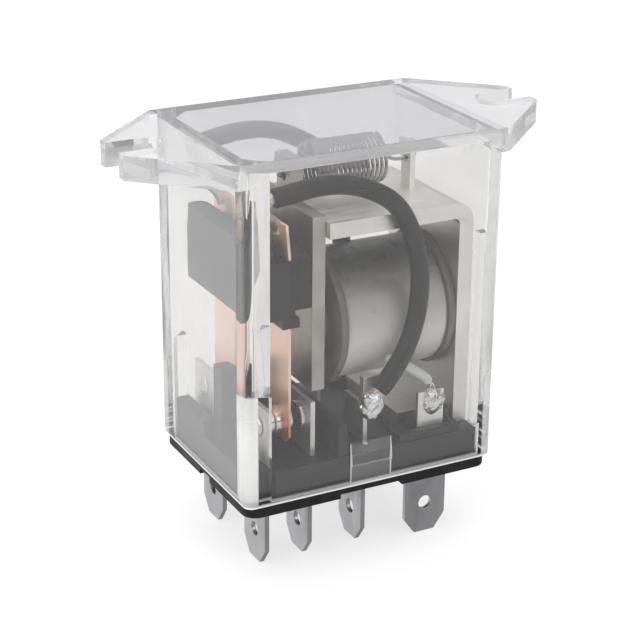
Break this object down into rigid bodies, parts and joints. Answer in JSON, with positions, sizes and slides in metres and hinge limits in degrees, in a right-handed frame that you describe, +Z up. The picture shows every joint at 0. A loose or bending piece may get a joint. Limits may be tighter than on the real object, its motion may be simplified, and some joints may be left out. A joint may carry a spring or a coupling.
{
  "type": "plug-in relay",
  "caption": "Plug-in changeover relay with blade terminals, a hinged-armature magnet and a clear clip-on dust cover with slotted mounting ears.",
  "frame": {"origin": "centre of the base's seating face, where the blades leave the base", "axes": "+X along the long side, from the contacts to the coil blades; +Y to the back pole; +Z up, from the blades to the cover's top"},
  "size_m": [0.045, 0.0208, 0.0434],
  "materials": {
    "clear_cover": "clear moulded polycarbonate, polished",
    "black_moulding": "black glass-filled moulding, satin",
    "tinned_brass": "brass blade with satin tin plating",
    "contact_silver": "silver alloy contact rivet",
    "copper": "bare rolled copper",
    "yoke_steel": "nickel-plated soft iron, rolled grain",
    "core_iron": "turned soft iron",
    "plated_steel": "zinc-plated steel",
    "spring_steel": "bright drawn spring wire",
    "bobbin_nylon": "natural nylon moulding",
    "enamelled_wire": "enamelled copper wire, layer wound",
    "coil_tape": "grey polyester film tape, slightly glossy",
    "solder": "tin-lead solder, wavy",
    "lead_insulation": "dark grey flexible insulation, satin",
    "bare_braid": "tinned copper braid",
    "coil_lead_sleeve": "pale glass-fibre sleeve"
  },
  "bodies": {
    "relay_frame": {"base": "black_moulding", "nc_terminal_front": "tinned_brass", "nc_terminal_rear": "tinned_brass", "no_terminal_front": "tinned_brass", "no_terminal_rear": "tinned_brass", "com_terminal_front": "tinned_brass", "com_terminal_rear": "tinned_brass", "coil_terminal_front": "tinned_brass", "coil_terminal_rear": "tinned_brass", "nc_contact_front": "contact_silver", "nc_contact_rear": "contact_silver", "no_contact_front": "contact_silver", "no_contact_rear": "contact_silver", "yoke": "yoke_steel", "core": "core_iron", "shading_ring": "copper", "bobbin": "bobbin_nylon", "coil_winding": "enamelled_wire", "coil_tape": "coil_tape", "coil_lead_front": "coil_lead_sleeve", "coil_lead_rear": "coil_lead_sleeve", "coil_solder_front": "solder", "coil_solder_rear": "solder", "com_solder_front": "solder", "com_solder_rear": "solder", "pigtail_front": "lead_insulation", "pigtail_rear": "lead_insulation", "return_spring": "spring_steel", "frame_screws": "plated_steel"},
    "armature_unit": {"armature": "yoke_steel", "contact_carrier": "black_moulding", "carrier_rivets": "plated_steel", "contact_leaf_front": "copper", "contact_leaf_rear": "copper", "moving_contact_front": "contact_silver", "moving_contact_rear": "contact_silver", "braid_front": "bare_braid", "braid_rear": "bare_braid"},
    "cover": {"dust_cover": "clear_cover"}
  },
  "joints": [
    {"name": "armature_hinge", "type": "hinge", "parent": "relay_frame", "child": "armature_unit", "pos_m": [-0.0036, 0, 0.0264], "axis": [0, -1, 0], "range_deg": [0, 2.3], "stiffness_Nm_per_rad": 0.008, "springref_deg": -34.38, "deforming": ["return_spring", "pigtail_front", "pigtail_rear"]},
    {"name": "cover_lift", "type": "slide", "parent": "relay_frame", "child": "cover", "axis": [0, 0, 1], "range_m": [0, 0.036]}
  ]
}
